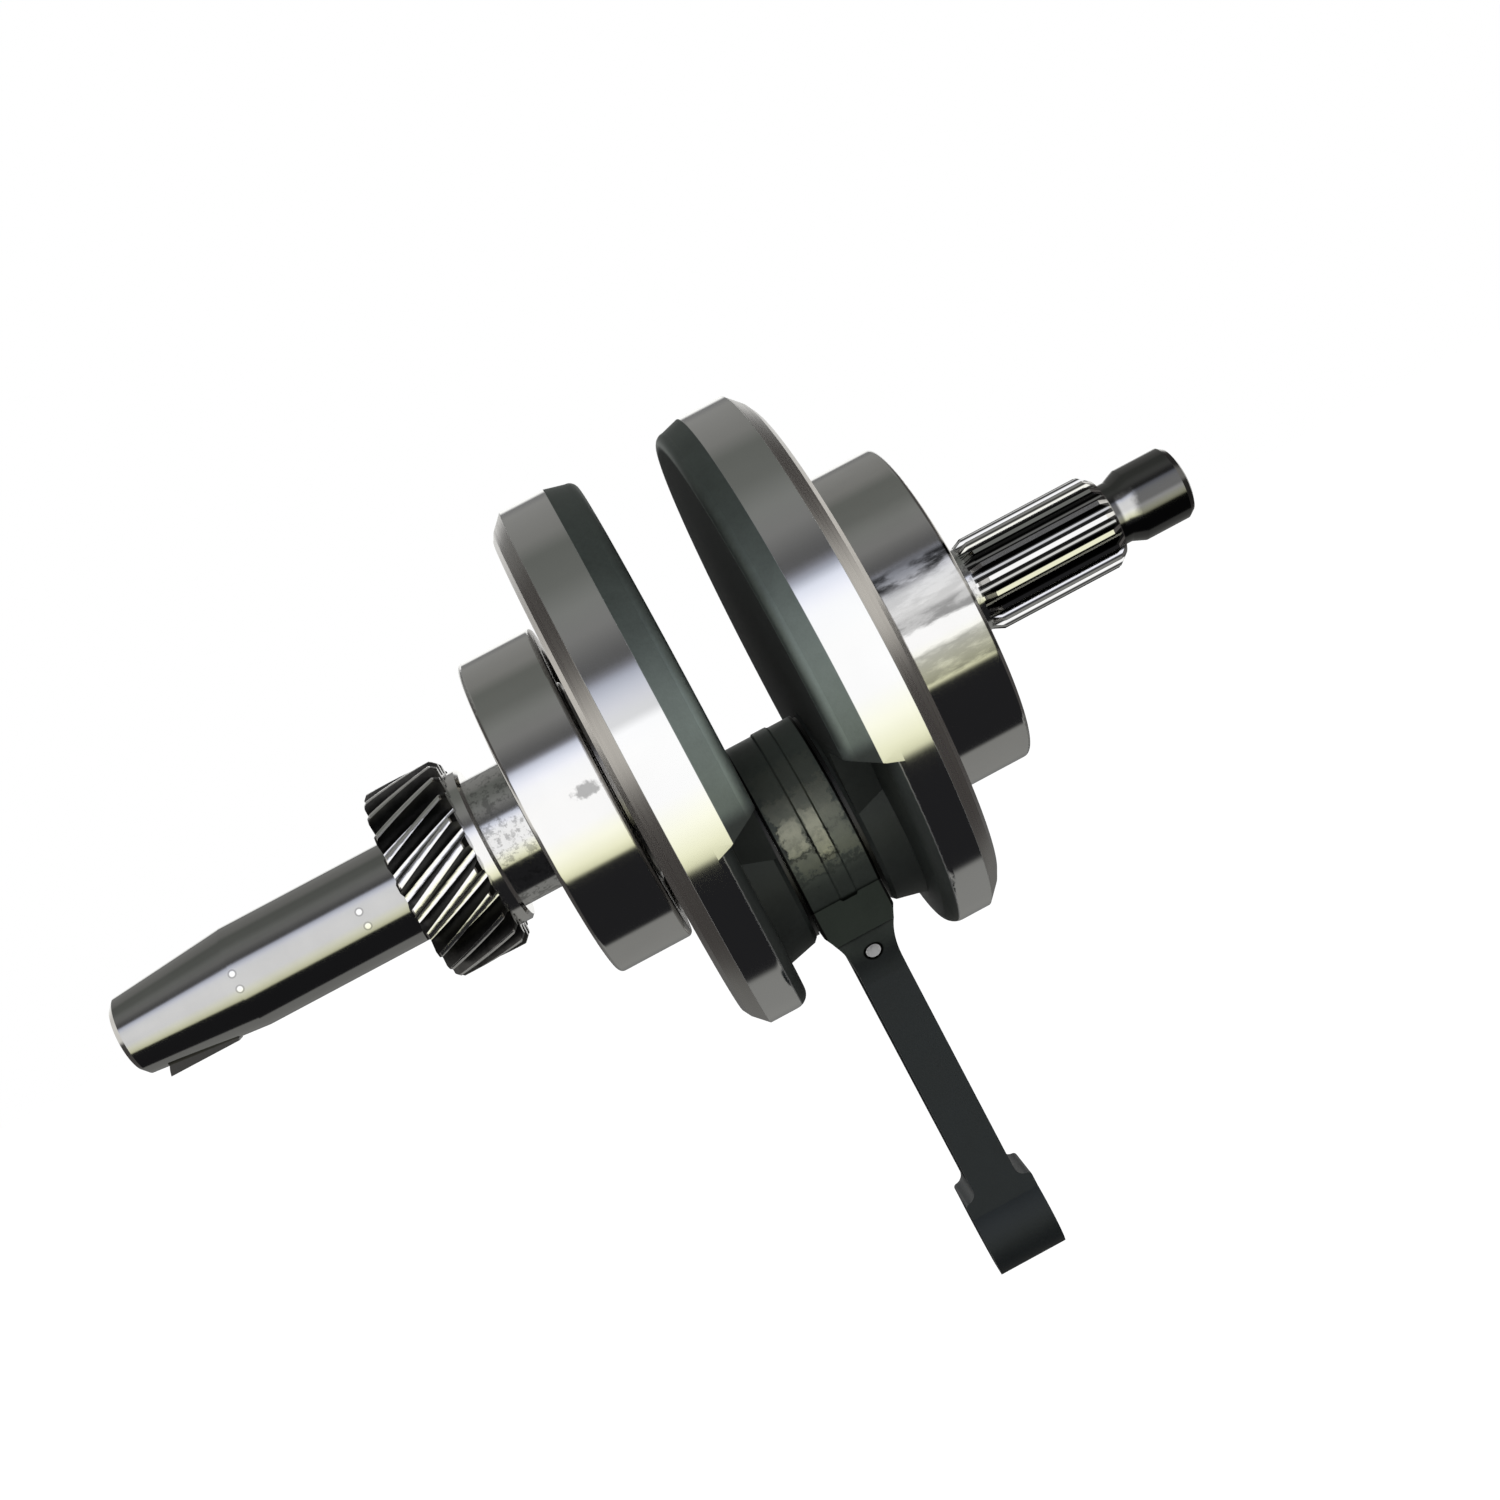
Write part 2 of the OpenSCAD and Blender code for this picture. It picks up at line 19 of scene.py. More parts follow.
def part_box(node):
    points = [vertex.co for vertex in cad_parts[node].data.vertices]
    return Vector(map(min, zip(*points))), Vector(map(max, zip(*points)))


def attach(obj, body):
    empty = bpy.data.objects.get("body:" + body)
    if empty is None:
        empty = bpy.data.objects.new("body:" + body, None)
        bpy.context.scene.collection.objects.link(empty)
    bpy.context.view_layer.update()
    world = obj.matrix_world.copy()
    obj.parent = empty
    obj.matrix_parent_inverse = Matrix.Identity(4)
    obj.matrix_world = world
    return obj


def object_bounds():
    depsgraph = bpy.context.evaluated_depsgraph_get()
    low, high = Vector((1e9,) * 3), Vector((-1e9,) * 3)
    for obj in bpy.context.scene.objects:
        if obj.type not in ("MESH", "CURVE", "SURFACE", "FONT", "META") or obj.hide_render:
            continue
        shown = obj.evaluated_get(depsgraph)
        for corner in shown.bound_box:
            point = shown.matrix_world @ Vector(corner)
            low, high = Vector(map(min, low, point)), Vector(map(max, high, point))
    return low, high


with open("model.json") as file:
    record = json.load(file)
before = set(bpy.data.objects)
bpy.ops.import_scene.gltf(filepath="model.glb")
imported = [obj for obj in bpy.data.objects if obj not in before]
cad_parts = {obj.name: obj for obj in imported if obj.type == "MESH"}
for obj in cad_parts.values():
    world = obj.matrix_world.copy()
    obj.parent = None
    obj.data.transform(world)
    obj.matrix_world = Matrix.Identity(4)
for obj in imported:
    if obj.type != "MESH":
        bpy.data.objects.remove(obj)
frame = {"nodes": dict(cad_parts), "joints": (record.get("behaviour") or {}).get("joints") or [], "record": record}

MM = 1000             # millimetres in a metre: the scene counts in metres, the finishes in millimetres

nodes = frame["nodes"]
cad_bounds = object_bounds()
print("CAD nodes:", len(nodes))
print("CAD box in mm:", [[round(MM * value, 1) for value in corner] for corner in cad_bounds])

# %% [markdown]
# ## Where things are in the photograph
#
# A camera match needs a few places that can be named in the picture and found again on the model.
# The first four are the outline's outermost coordinates. The next are the middles of what shows
# of a piece, or of one stretch of it, and the last are four bright spots of wear on the rotor
# shaft. All are x, y in a frame of 1500 by 1500, with y downwards.

# %% Image points
IMAGE_W = 1500
IMAGE_H = 1500

EDGE_POINTS = {"left_x": 109, "right_x": 1195, "top_y": 396, "bottom_y": 1275}
PIECE_POINTS = {
    "helical_gear": (449, 868),
    "left_outer_race": (575, 800),
    "right_outer_race": (938, 604),
    "woodruff_key": (206, 1056),
    "big_end": (822, 830),
    "rod_oil_hole": (874, 950),
    "small_end": (1010, 1214),
    "end_journal": (1148, 495),
}
SPOT_POINTS = {
    "outer_upper_spot": (232, 974),
    "outer_lower_spot": (240, 989),
    "inner_upper_spot": (359, 912),
    "inner_lower_spot": (368, 926),
}
print("Image points:", len(EDGE_POINTS) + len(PIECE_POINTS) + len(SPOT_POINTS))

# %% [markdown]
# ## The camera
#
# The photographer stood close, so the far rims look smaller than the near ones. A long lens from
# far away would lose that. The place, aim, roll and lens below come from matching the edges of the
# bearings, webs and shafts. The crank lay askew in the picture, so the camera is rolled and
# the model stays level. The aim is set first, and no shift is needed.

# %% Camera
CAMERA_PLACE = Vector((0.02130, -0.41997, 0.02701))
CAMERA_AIM = Vector((0.03678, 0.0, -0.00788))
CAMERA_ROLL = math.radians(-27.882)
LENS_MM = 48.4947
SENSOR_MM = 36.0
SHIFT_X = 0.0
SHIFT_Y = 0.0
CLIP_START = 0.01

camera_data = bpy.data.cameras.new("camera")
camera_data.sensor_fit = "AUTO"
camera_data.sensor_width = SENSOR_MM
camera_data.lens = LENS_MM
camera_data.shift_x = SHIFT_X
camera_data.shift_y = SHIFT_Y
camera_data.clip_start = CLIP_START
camera = bpy.data.objects.new("camera", camera_data)
bpy.context.scene.collection.objects.link(camera)
aim = (CAMERA_AIM - CAMERA_PLACE).to_track_quat("-Z", "Y").to_matrix().to_4x4()
camera.matrix_world = Matrix.Translation(CAMERA_PLACE) @ aim @ Matrix.Rotation(CAMERA_ROLL, 4, "Z")
bpy.context.scene.camera = camera
bpy.context.view_layer.update()
print("Camera distance in mm:", round(MM * (CAMERA_AIM - CAMERA_PLACE).length))

# %% [markdown]
# ## Looking through a point of the picture
#
# The spots of wear are known only from the photograph. To place one, a ray leaves the camera
# through its image point and stops where it meets the shaft. A ray that misses takes the place
# nearest to it. `tree_of` puts the faces into a search tree, which makes this quick, and another
# such tree later tells which corners show.

# %% Rays through the camera
FOCAL = max(IMAGE_W, IMAGE_H) * LENS_MM / SENSOR_MM    # the lens's length in image points
RAY_LENGTH = 1.0      # how far a ray that misses is followed, in metres
RAY_STEPS = 400


def tree_of(objects):
    """One search tree over the faces of several objects, in world coordinates."""
    points, faces = [], []
    for thing in objects:
        start = len(points)
        points += [thing.matrix_world @ vertex.co for vertex in thing.data.vertices]
        faces += [[start + index for index in face.vertices] for face in thing.data.polygons]
    return BVHTree.FromPolygons(points, faces)


def place_seen(tree, x, y):
    """The place in millimetres where the camera's ray through an image point meets a tree."""
    side = max(IMAGE_W, IMAGE_H)
    ray = Vector((x - IMAGE_W / 2 + SHIFT_X * side, IMAGE_H / 2 - y + SHIFT_Y * side, -FOCAL))
    start = camera.matrix_world.translation
    way = (camera.matrix_world.to_3x3() @ ray).normalized()
    hit = tree.ray_cast(start, way)[0]
    if hit is None:
        along = [start + way * (RAY_LENGTH * step / RAY_STEPS) for step in range(RAY_STEPS)]
        hit = min((tree.find_nearest(place) for place in along), key=lambda near: near[3])[0]
    return MM * hit


shaft_tree = tree_of([nodes["left_shaft"]])
wear_spots = {name: place_seen(shaft_tree, x, y) for name, (x, y) in SPOT_POINTS.items()}
print("Spots placed:", len(wear_spots))

# %% [markdown]
# ## Shader sums written as Python
#
# A finish is a small calculation: how far from the axis, how rough here, how dark there. Wiring
# that by hand fills a screen with Math nodes. `Wire` stands for one socket and turns `+`, `-`, `*`
# and `/` into Math nodes, so that a mask reads like a formula. `Finish` is a material. Its `node`
# method adds any other node. Masks come from three methods: `step` rises from 0 to 1 between two
# places, `before` falls from 1 to 0, and `band` rises and falls again.
#
# Inside a finish, distances are in millimetres, and brightness and roughness run from 0 to 1. The
# factors in its sums say how much a mask or a noise moves them. A noise's numbers are its scale,
# how fine its detail goes and how rough that detail is.

# %% Wires and finishes
class Wire:
    """One output socket that takes part in Python sums."""

    def __init__(self, finish, socket):
        self.finish = finish
        self.socket = socket

    def __add__(self, other):
        return self.finish.math("ADD", self, other)

    def __radd__(self, other):
        return self.finish.math("ADD", other, self)

    def __sub__(self, other):
        return self.finish.math("SUBTRACT", self, other)

    def __rsub__(self, other):
        return self.finish.math("SUBTRACT", other, self)

    def __mul__(self, other):
        return self.finish.math("MULTIPLY", self, other)

    def __rmul__(self, other):
        return self.finish.math("MULTIPLY", other, self)

    def __truediv__(self, other):
        return self.finish.math("DIVIDE", self, other)

    def __pow__(self, other):
        return self.finish.math("POWER", self, other)

    def __abs__(self):
        return self.finish.math("ABSOLUTE", self)

    def max(self, other):
        return self.finish.math("MAXIMUM", self, other)


class Finish:
    """A node tree with one way to add a node, and the masks and textures made with it."""

    def __init__(self, tree):
        self.tree = tree

    def math(self, operation, *values):
        return self.node("Math", {"operation": operation}, dict(enumerate(values)))

    def node(self, kind, settings=None, sockets=None, out=0):
        new = self.tree.nodes.new("ShaderNode" + kind)
        for name, value in (settings or {}).items():
            if name == "stops":
                self.set_stops(new.color_ramp.elements, value)
            else:
                setattr(new, name, value)
        for name, value in (sockets or {}).items():
            if isinstance(value, Wire):
                self.tree.links.new(value.socket, new.inputs[name])
            else:
                new.inputs[name].default_value = value
        return Wire(self, new.outputs[out])

    def set_stops(self, elements, stops):
        while len(elements) < len(stops):
            elements.new(1.0)
        for element, (position, color) in zip(elements, stops):
            element.position = position
            element.color = color

    def coordinates(self):
        """The object's own coordinates, in millimetres."""
        place = self.node("TexCoord", out="Object")
        self.place = self.node("VectorMath", {"operation": "SCALE"}, {0: place, "Scale": MM})
        self.x = self.node("SeparateXYZ", None, {0: self.place}, "X")
        self.y = self.node("SeparateXYZ", None, {0: self.place}, "Y")
        self.z = self.node("SeparateXYZ", None, {0: self.place}, "Z")

    def vector(self, x, y, z):
        return self.node("CombineXYZ", None, {0: x, 1: y, 2: z})

    def radius(self):
        """Distance from the main axis."""
        return (self.y * self.y + self.z * self.z) ** 0.5

    def from_tooth(self, count, turn):
        """Distance round from the nearest tooth's middle, 0 to 0.5 of the pitch."""
        angle = self.math("ARCTAN2", self.z, self.y) * math.degrees(1)
        return abs(self.math("FRACT", (angle - turn) * (count / 360) + 0.5) - 0.5)

    def step(self, value, low, high):
        limits = {"Value": value, "From Min": low, "From Max": high}
        return self.node("MapRange", {"interpolation_type": "SMOOTHSTEP"}, limits)

    def before(self, value, low, high):
        return 1 - self.step(value, low, high)

    def band(self, value, rise, fall):
        """Rise and fall are pairs: where each starts and where it ends."""
        return self.step(value, *rise) * self.before(value, *fall)

    def noise(self, vector, scale=1.0, detail=3.0, roughness=0.55):
        sockets = {"Vector": vector, "Scale": scale, "Detail": detail, "Roughness": roughness}
        return self.node("TexNoise", None, sockets)

    def mix(self, factor, low, high):
        return self.node("Mix", {"data_type": "RGBA"}, {0: factor, 6: low, 7: high}, 2)

    def bump(self, height, depth_mm):
        return self.node("Bump", None, {"Height": height, "Distance": depth_mm / MM, "Strength": 1.0})


finish_of = {}


def new_finish(name):
    """A new material, which `finish_of` then knows by its name."""
    material = bpy.data.materials.new(name)
    material.use_nodes = True
    finish = Finish(material.node_tree)
    finish.material = material
    finish.shader = material.node_tree.nodes["Principled BSDF"]
    finish.surface = material.node_tree.nodes["Material Output"].inputs["Surface"]
    finish.coordinates()
    finish_of[name] = finish
    return finish


def set_surface(finish, **values):
    """Sets the surface's inputs, each to a number, a colour or a Wire."""
    sockets = {socket.name.lower(): socket for socket in finish.shader.inputs}
    for name, value in values.items():
        socket = sockets[name.replace("_", " ")]
        if isinstance(value, Wire):
            finish.tree.links.new(value.socket, socket)
        else:
            socket.default_value = value


def grey(level, warmth=0.0):
    return (level * (1 + warmth), level, level * (1 - warmth), 1.0)


# %% [markdown]
# ## Steel that was ground
#
# A grinding wheel leaves fine rings round a shaft. Seen along the shaft they change fast, and
# round it they hardly change, so a noise texture is squeezed along X and stretched across it. The
# rings move the roughness and the bump together. A slow cloud on top keeps any two stretches
# from looking alike. The key and the thrust washers are ground too, but their colour is nearly black.

# %% Ground steel
RING_SCALE = 2.6      # rings in each millimetre along the shaft, about
ROUND_SCALE = 0.05    # how fast a ring changes round the shaft
CLOUD_SPREAD = 0.16   # how far the cloud moves the brightness


def grinding_rings(finish):
    stretched = finish.vector(finish.x * RING_SCALE, finish.y * ROUND_SCALE, finish.z * ROUND_SCALE)
    return finish.noise(stretched, 1.0, 4.0, 0.65)


def ground_steel(name, level, roughness, warmth=0.0, depth=0.003):
    finish = new_finish(name)
    rings = grinding_rings(finish)
    cloud = finish.noise(finish.place, 0.09, 4.0)
    shade = level * (1 - CLOUD_SPREAD * 0.5 + CLOUD_SPREAD * cloud)
    set_surface(finish, base_color=finish.mix(shade, grey(0.0), grey(1.0, warmth)), metallic=1.0,
                roughness=roughness * (0.7 + 0.6 * rings) + 0.04 * cloud,
                normal=finish.bump(rings, depth))


ground_steel("pin_steel", 0.7, 0.14)
ground_steel("needle_steel", 0.78, 0.1)
ground_steel("key_steel", 0.05, 0.34, warmth=0.02, depth=0.01)
ground_steel("washer_steel", 0.05, 0.4)
print("Ground finishes:", len(finish_of))

# %% [markdown]
# ## Bearing races under a film of oil and painted shade
#
# The outer races are the brightest pieces. Their chamfers were only turned, so these stay darker.
# The right one has been handled: an uneven film of oil dulls the front of its outer surface, and
# painted shade in bands by height darkens its reflection there, in one stripe below the axis and a
# wider one above it. The steps below list where film and shade grow or thin on the way up. A noise
# bends those heights, so that they end in ragged edges. The left race only has a scuff on its front.

# %% Race finish
RACE_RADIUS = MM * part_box("left_outer_race")[1].z
RIGHT_RACE_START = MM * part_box("right_outer_race")[0].x
OUTER_SURFACE = (RACE_RADIUS - 0.5, RACE_RADIUS - 0.3)
CHAMFER_EDGE = (RACE_RADIUS - 0.12, RACE_RADIUS - 0.04)
# Where the film and painted shade start to change, where they have changed, and by how much
FILM_AND_SHADE_STEPS = [
    (-11.5, -10.5, 0.7),
    (-5.4, -4.4, -0.7),
    (-0.9, -0.1, 0.85),
    (1.8, 3.2, -0.4),
    (7.0, 9.0, 0.3),
    (8.2, 9.6, 0.45),
    (11.5, 13.0, -1.14),
]
FILM_AND_SHADE_END_Y = (-12.0, 0.0)        # the film and painted shade thin out here on their way round to the back
SCUFF = Vector((4.6, 0, 3.2))    # the middle of the dull mark on the left race
SCUFF_HALF_LENGTH = 3.4
SCUFF_HALF_HEIGHT = 1.8
SCUFF_END_Y = (-20.0, -19.0)


def race_finish():
    finish = new_finish("race_steel")
    rings = grinding_rings(finish)
    cloud = finish.noise(finish.place, 0.12, 4.0)
    smear = finish.noise(finish.vector(finish.x * 0.1, finish.y * 0.1, finish.z * 0.36), 1.0, 5.0, 0.6)
    radius = finish.radius()
    outside = finish.step(radius, *OUTER_SURFACE)
    right = finish.step(finish.x, RIGHT_RACE_START - 1, RIGHT_RACE_START)
    height = finish.z + 3 * smear - 2.3    # bent by the noise
    # An oil film with painted shade in bands by height, on the right race's front
    dulling_and_painted_shade = sum(amount * finish.step(height, low, high) for low, high, amount in FILM_AND_SHADE_STEPS)
    dulling_and_painted_shade = dulling_and_painted_shade * right * outside * finish.before(finish.y, *FILM_AND_SHADE_END_Y)
    dulling_and_painted_shade = dulling_and_painted_shade * (0.75 + 0.5 * finish.step(smear, 0.4, 0.6))
    reach = (((finish.x - SCUFF.x) / SCUFF_HALF_LENGTH) ** 2
             + ((finish.z - SCUFF.z) / SCUFF_HALF_HEIGHT) ** 2) ** 0.5
    patchy = finish.noise(finish.place, 0.6, 4.0)
    scuff = (1 - right) * outside * finish.before(reach + 1.6 * patchy - 0.8, 0.6, 1.0)
    dulling_and_painted_shade = dulling_and_painted_shade.max(0.8 * scuff * finish.before(finish.y, *SCUFF_END_Y))
    turned = finish.before(radius, *CHAMFER_EDGE)
    shade = 0.82 - 0.06 * cloud - 0.5 * dulling_and_painted_shade - 0.2 * turned
    set_surface(finish, base_color=finish.mix(shade, grey(0.0), grey(1.0, 0.006)), metallic=1.0,
                roughness=0.06 + 0.04 * rings + 0.03 * cloud + 0.1 * dulling_and_painted_shade + 0.12 * turned,
                normal=finish.bump(rings + 0.6 * dulling_and_painted_shade * smear, 0.003))


race_finish()
print("Race finish nodes:", len(finish_of["race_steel"].tree.nodes))

# %% [markdown]
# ## One shaft, four brightnesses
#
# The shaft was ground along its whole length, but each stretch aged in its own way. Brightness
# is therefore a chain of steps along X: the rotor shaft, the seat beside the bearing with its
# stains, the splines and the end journal. Dried oil and painted shade darken the splines, so that
# only narrow painted highlight lines of their tops, flanks and valleys shine. The journal is almost
# black but for a painted highlight patch, a thin painted highlight line and painted light on its top
# part. The rotor shaft has four small bright spots of wear, each in a ring of dirt, at the places
# found through the camera.

# %% Shaft finish
SEAT_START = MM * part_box("helical_gear")[0].x + 1
SPLINE_START = 93.1
SPLINE_END = 125.6
SPLINE_COUNT = 19
SPLINE_TURN = 5       # degrees from +Y to the middle of a tooth
# Where a spline gets painted highlight lines, as shares of the pitch from a tooth's middle
LAND_END = (0.12, 0.15)
FLANK_START = (0.2, 0.23)
FLANK_END = (0.29, 0.32)
VALLEY_START = (0.41, 0.44)
# Away from the axis the flanks get painted highlight lines too
FLANKS_SHINE_FROM = (5.0, 6.5)      # height above or below the axis
GRIME_TOP = (-4.0, -3.0)            # below this height the valleys are dull as well
# A thin painted highlight line and a painted highlight patch on the journal
PAINTED_STREAK_HEIGHT = ((-3.0, -1.8), (-0.8, 0.2))
PAINTED_PATCH_START_X = (127.0, 127.8)
PAINTED_PATCH_END_X = (132.5, 134.5)
PAINTED_PATCH_LOW = (-3.5, -2.5)
PAINTED_PATCH_HIGH = (5.0, 6.5)
# Above this height the journal is painted a little lighter
JOURNAL_PAINTED_LIGHTER_FROM = (3.4, 4.6)
SPOT_RADIUS = 0.7


def shaft_finish():
    finish = new_finish("shaft_steel")
    rings = grinding_rings(finish)
    cloud = finish.noise(finish.place, 0.11, 5.0, 0.6)
    seat = finish.step(finish.x, SEAT_START, SEAT_START + 1)
    journal = finish.step(finish.x, SPLINE_END - 0.3, SPLINE_END + 0.3)
    splined = finish.step(finish.x, SPLINE_START, SPLINE_START + 0.3) * (1 - journal)
    round_from = finish.from_tooth(SPLINE_COUNT, SPLINE_TURN)
    land = finish.before(round_from, *LAND_END)
    flank = finish.band(round_from, FLANK_START, FLANK_END)
    valley = finish.step(round_from, *VALLEY_START)
    outer = finish.step(abs(finish.z), *FLANKS_SHINE_FROM)
    # Dried oil and painted shade darken the splines, but for narrow painted highlight lines
    oil_and_painted_shade = splined * (1 - land - outer * flank - 0.6 * valley)
    grimy = splined * valley * finish.before(finish.z, *GRIME_TOP)
    stain = seat * (1 - splined) * (1 - journal) * finish.noise(finish.place, 0.55, 6.0, 0.7)
    stain = finish.step(stain, 0.48, 0.6)
    # Painted highlights on the journal, and painted light on its top part
    painted_streak = finish.band(finish.z, *PAINTED_STREAK_HEIGHT)
    painted_patch = (finish.step(finish.x, *PAINTED_PATCH_START_X) * finish.step(finish.z, *PAINTED_PATCH_LOW)
              * finish.before(finish.x + 6 * cloud, *PAINTED_PATCH_END_X)
              * finish.before(finish.z + 6 * cloud, *PAINTED_PATCH_HIGH))
    painted_top_light = finish.step(finish.z, *JOURNAL_PAINTED_LIGHTER_FROM)
    shade = 0.5 + 0.2 * seat + 0.1 * splined - 0.59 * journal
    shade = shade + journal * (0.06 * painted_top_light + 0.09 * painted_streak + 0.42 * painted_patch)
    shade = shade * (0.9 + 0.2 * cloud) * (1 - 0.94 * oil_and_painted_shade) * (1 - 0.4 * stain)
    spots, rings_of_dirt = 0.0, 0.0
    for place in wear_spots.values():
        away = finish.node("VectorMath", {"operation": "DISTANCE"}, {0: finish.place, 1: place}, "Value")
        spots = spots + finish.before(away, SPOT_RADIUS - 0.2, SPOT_RADIUS)
        rings_of_dirt = rings_of_dirt + finish.before(away, SPOT_RADIUS + 0.1, SPOT_RADIUS + 0.35)
    shade = shade * (1 - 0.3 * (rings_of_dirt - spots)) + 0.35 * spots
    set_surface(finish, base_color=finish.mix(shade, grey(0.0), grey(1.0, 0.004)), metallic=1.0,
                roughness=(0.07 + 0.05 * rings + 0.03 * cloud + 0.04 * journal
                           + 0.08 * stain + 0.4 * grimy),
                normal=finish.bump(rings + 0.5 * cloud * seat, 0.004))


shaft_finish()
print("Shaft finish nodes:", len(finish_of["shaft_steel"].tree.nodes))

# %% [markdown]
# ## Webs: forged, turned and ground
#
# Each web was forged first, and that skin stays dark on the counterweight's inner strip, the
# inner faces and the crankpin boss. The strip is the brighter part of it, and painted shade darkens
# it towards its top. The inner faces are the roughest, and painted shade makes them darker still.
# The outer faces and the bevel were turned, which leaves rings about the axis. The rim was ground
# last and shines, but for a band of painted shade across its front, higher on the right web. One
# finish holds all of them, and the distances from the mid-plane and from the main axis say which
# one shows.

# %% Web finish
joint_place = {joint["name"]: MM * Vector(joint["pos_m"]) for joint in frame["joints"]}
PIN_AXIS = joint_place["rod_swing"]
RIM_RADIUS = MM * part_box("left_web")[1].z
RIM_EDGE = (RIM_RADIUS - 0.3, RIM_RADIUS - 0.12)
STRIP_EDGE = (RIM_RADIUS - 4.5, RIM_RADIUS - 2.5)
RIM_START = 15.4      # the ground rim starts here, from the mid-plane
BEVEL_START = 25.4    # the turned bevel starts here
THRUST_FACE = 8.78    # the boss is ground flat nearer than this
BOSS_TOP = -11        # below this height the skin is the boss's
# Painted shade that darkens the strip towards its top
STRIP_PAINTED_SHADE = [(8.0, 28.0, 0.32), (27.0, 40.0, 0.13)]    # from and to a height, and how much
# A band of painted shade across the rim's front, by height
RIM_SHADE_START = (10.0, 12.5)
RIM_SHADE_END = (19.5, 22.0)
RIM_SHADE_LIFT = 7.5       # the right rim's painted shade starts this much higher
RIM_SHADE_END_Y = (-20.0, 0.0)
WEB_TINT = (0.9, 1.06, 1.0, 1.0)
SCALE_METAL = 0.4     # scale is part oxide, so that some of the light it returns is soft


def forged_skin(finish, level, tint):
    """Dark scale with soft lumps and fine pits: a colour, a roughness and a height."""
    lumps = finish.noise(finish.place, 0.16, 5.0, 0.6)
    pits = finish.noise(finish.place, 1.7, 4.0, 0.7)
    shade = level * (0.55 + 0.5 * lumps + 0.4 * pits)
    color = finish.mix(shade, grey(0.0), tint)
    return color, 0.34 + 0.16 * pits + 0.08 * lumps, 0.6 * lumps + 0.4 * pits


def web_finish():
    finish = new_finish("crank_steel")
    depth = abs(finish.x - PIN_AXIS.x)
    radius = finish.radius()
    turned = finish.step(depth, BEVEL_START - 0.1, BEVEL_START + 0.15)
    rim = (finish.step(radius, *RIM_EDGE) * finish.step(depth, RIM_START - 0.08, RIM_START + 0.08)
           * (1 - turned))
    thrust = finish.before(depth, THRUST_FACE - 0.02, THRUST_FACE)
    bright = rim.max(turned).max(thrust * finish.before(finish.z, BOSS_TOP, BOSS_TOP + 1))
    boss = finish.before(finish.z, BOSS_TOP - 3, BOSS_TOP + 1)
    near_rim = finish.step(radius, *STRIP_EDGE)
    inner = (1 - near_rim) * (1 - boss)
    strip = near_rim * (1 - boss)
    painted_strip_shade = sum(amount * finish.step(finish.z, low, high) for low, high, amount in STRIP_PAINTED_SHADE)
    # Painted shade: darker on the inner faces, and on the strip towards its top
    level = 0.04 - 0.022 * inner + 0.18 * strip * (1 - painted_strip_shade)
    skin_color, skin_roughness, skin_height = forged_skin(finish, level, WEB_TINT)
    rings = grinding_rings(finish)
    lathe = finish.noise(finish.vector(finish.x * 1.6, radius * 1.6, 0.3), 1.0, 3.0)
    cloud = finish.noise(finish.place, 0.05, 3.0)
    right = finish.step(finish.x, PIN_AXIS.x - 1, PIN_AXIS.x)
    # Painted shade on the rim's front in a band by height, higher on the right web
    painted_rim_shade = (finish.step(finish.z - RIM_SHADE_LIFT * right, *RIM_SHADE_START) * finish.before(finish.z, *RIM_SHADE_END)
            * finish.before(finish.y, *RIM_SHADE_END_Y))
    shade = 0.42 + 0.08 * cloud + (0.35 - 0.24 * painted_rim_shade) * rim
    steel = finish.mix(shade, grey(0.0), finish.mix(turned, grey(1.0), grey(1.0, 0.03)))
    roughness = 0.22 - 0.14 * rim + 0.04 * rings * rim + 0.12 * lathe * turned
    height = rings * rim * 0.05 + lathe * turned * 0.3 + skin_height * (1 - bright)
    set_surface(finish, base_color=finish.mix(bright, skin_color, steel),
                metallic=SCALE_METAL + (1 - SCALE_METAL) * bright.max(0.9 * strip),
                roughness=(skin_roughness + 0.1 + 0.44 * inner) * (1 - bright) + roughness * bright,
                normal=finish.bump(height, 0.06))


web_finish()
print("Web finish nodes:", len(finish_of["crank_steel"].tree.nodes))

# %% [markdown]
# ## The forged rod
#
# The rod is the darkest piece: blasted, then blued by heat. Its skin is rough enough to hide the
# shank. The big end is a little smoother, and its top part is painted a little lighter. On its front
# a few patches of painted highlight lie on the scale, smoother and more metallic there. Their edges
# are bent by noise, so that they do not look printed, and a line of painted shade lies under each.
# The neck below the ring gets painted shade, and the chamfers beside it stay dark. The oil hole
# shows its bright wall in a ring of soot. The eyes' side faces were ground.

# %% Rod finish
SHANK_LEVEL = 0.018
ROD_TINT = (0.78, 1.03, 1.2, 1.0)
BIG_END_TINT = (0.9, 1.08, 0.96, 1.0)
# Colour of the painted highlight patches on the big end
PAINTED_HIGHLIGHT_COLOR = (0.28, 0.283, 0.225, 1.0)
BIG_END_HALF = 7.9                     # half the big end's width
CHAMFER_START = 7.35                   # from the mid-plane
FRONT_END_Y = (-16.0, -14.0)           # the painted highlight patches end here on their way round to the back
# Heights below are counted from the crankpin's axis
NECK_START = (-23.5, -22.5)
NECK_END = (-14.5, -13.7)
# Above this height the ring is painted lighter
RING_PAINTED_LIGHTER_FROM = (-10.0, -7.0)
OIL_HOLE_R = 1.55
OIL_HOLE = Vector((0, -12.5, -28.2))    # a point on the drilling's axis, from the crankpin's
# Painted highlights: middle across and up from the crankpin, half width, half height, how much it shows
PAINTED_HIGHLIGHT_PATCHES = [
    (0.0, 9.0, 7.2, 7.5, 0.16),
    (0.0, 2.2, 7.4, 8.4, 0.38),
    (-4.3, 1.9, 2.5, 3.7, 0.6),
    (0.7, 1.1, 1.7, 5.0, 0.65),
    (0.9, -4.3, 1.0, 1.2, 0.3),
]


